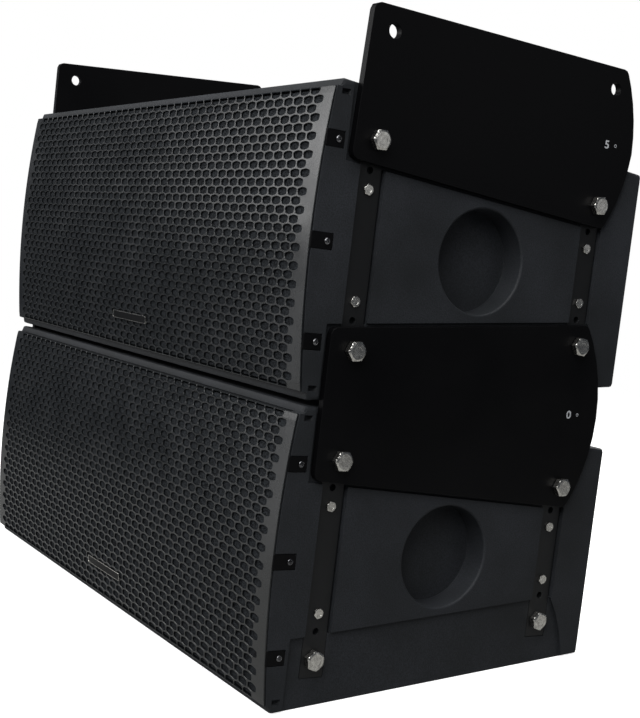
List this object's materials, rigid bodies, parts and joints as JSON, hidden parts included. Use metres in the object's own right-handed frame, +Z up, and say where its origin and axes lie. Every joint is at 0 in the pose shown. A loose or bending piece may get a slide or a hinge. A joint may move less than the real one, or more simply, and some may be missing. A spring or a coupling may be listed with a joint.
{
  "type": "line array speaker",
  "caption": "Stack of wedge-shaped dual-woofer line array cabinets with perforated steel grilles, side hand pockets and bolted splay plates.",
  "frame": {"origin": "middle of the lower cabinet's flat floor, which stands level", "axes": "+X to the right as the listener sees it from the front (the widest extent), -Y out of the grille (the fronts lean back by the wedge angle), +Z up"},
  "size_m": [0.7956, 0.4413, 0.6637],
  "materials": {
    "enclosure_shell": "moulded, fine matt texture",
    "baffle_board": "black paint",
    "grille_steel": "semi-gloss powder coat",
    "grille_foam": "open-cell acoustic foam",
    "rigging_steel": "satin black powder coat",
    "zinc_bolt": "bright zinc plate",
    "basket_steel": "black paint",
    "cone_paper": "treated paper",
    "magnet_steel": "dark zinc",
    "horn_plastic": "moulded",
    "circuit_board": "solder mask",
    "socket_plastic": "moulded"
  },
  "bodies": {
    "array": {"lower_enclosure": "enclosure_shell", "lower_grille": "grille_steel", "lower_grille_foam": "grille_foam", "lower_baffle": "baffle_board", "lower_woofer_frame_left": "basket_steel", "lower_woofer_magnet_left": "magnet_steel", "lower_woofer_frame_right": "basket_steel", "lower_woofer_magnet_right": "magnet_steel", "lower_horn": "horn_plastic", "lower_compression_driver": "magnet_steel", "lower_crossover_board": "circuit_board", "lower_connector_plate": "rigging_steel", "lower_socket_in": "socket_plastic", "lower_socket_link": "socket_plastic", "lower_rail_front_left": "rigging_steel", "lower_rail_rear_left": "rigging_steel", "lower_rail_front_right": "rigging_steel", "lower_rail_rear_right": "rigging_steel", "upper_enclosure": "enclosure_shell", "upper_grille": "grille_steel", "upper_grille_foam": "grille_foam", "upper_baffle": "baffle_board", "upper_woofer_frame_left": "basket_steel", "upper_woofer_magnet_left": "magnet_steel", "upper_woofer_frame_right": "basket_steel", "upper_woofer_magnet_right": "magnet_steel", "upper_horn": "horn_plastic", "upper_compression_driver": "magnet_steel", "upper_crossover_board": "circuit_board", "upper_connector_plate": "rigging_steel", "upper_socket_in": "socket_plastic", "upper_socket_link": "socket_plastic", "upper_rail_front_left": "rigging_steel", "upper_rail_rear_left": "rigging_steel", "upper_rail_front_right": "rigging_steel", "upper_rail_rear_right": "rigging_steel", "splay_plate_0deg_left": "rigging_steel", "splay_plate_0deg_top_left": "rigging_steel", "bolt_0deg_lower_front_left": "zinc_bolt", "bolt_0deg_upper_front_left": "zinc_bolt", "bolt_top_front_left": "zinc_bolt", "bolt_base_front_left": "zinc_bolt", "bolt_0deg_lower_rear_left": "zinc_bolt", "bolt_0deg_upper_rear_left": "zinc_bolt", "bolt_top_rear_left": "zinc_bolt", "bolt_base_rear_left": "zinc_bolt", "splay_plate_0deg_right": "rigging_steel", "splay_plate_5deg_right": "rigging_steel", "bolt_0deg_lower_front_right": "zinc_bolt", "bolt_0deg_upper_front_right": "zinc_bolt", "bolt_top_front_right": "zinc_bolt", "bolt_base_front_right": "zinc_bolt", "bolt_0deg_lower_rear_right": "zinc_bolt", "bolt_0deg_upper_rear_right": "zinc_bolt", "bolt_top_rear_right": "zinc_bolt", "bolt_base_rear_right": "zinc_bolt"},
    "lower_cone_left": {"lower_woofer_cone_left": "cone_paper"},
    "lower_cone_right": {"lower_woofer_cone_right": "cone_paper"},
    "upper_cone_left": {"upper_woofer_cone_left": "cone_paper"},
    "upper_cone_right": {"upper_woofer_cone_right": "cone_paper"}
  },
  "joints": [
    {"name": "lower_cone_left_travel", "type": "slide", "parent": "array", "child": "lower_cone_left", "axis": [0, -0.9966, 0.0819], "range_m": [-0.005, 0.005], "stiffness_N_per_m": 2500},
    {"name": "lower_cone_right_travel", "type": "slide", "parent": "array", "child": "lower_cone_right", "axis": [0, -0.9966, 0.0819], "range_m": [-0.005, 0.005], "stiffness_N_per_m": 2500},
    {"name": "upper_cone_left_travel", "type": "slide", "parent": "array", "child": "upper_cone_left", "axis": [0, -0.9966, 0.0819], "range_m": [-0.005, 0.005], "stiffness_N_per_m": 2500},
    {"name": "upper_cone_right_travel", "type": "slide", "parent": "array", "child": "upper_cone_right", "axis": [0, -0.9966, 0.0819], "range_m": [-0.005, 0.005], "stiffness_N_per_m": 2500}
  ]
}
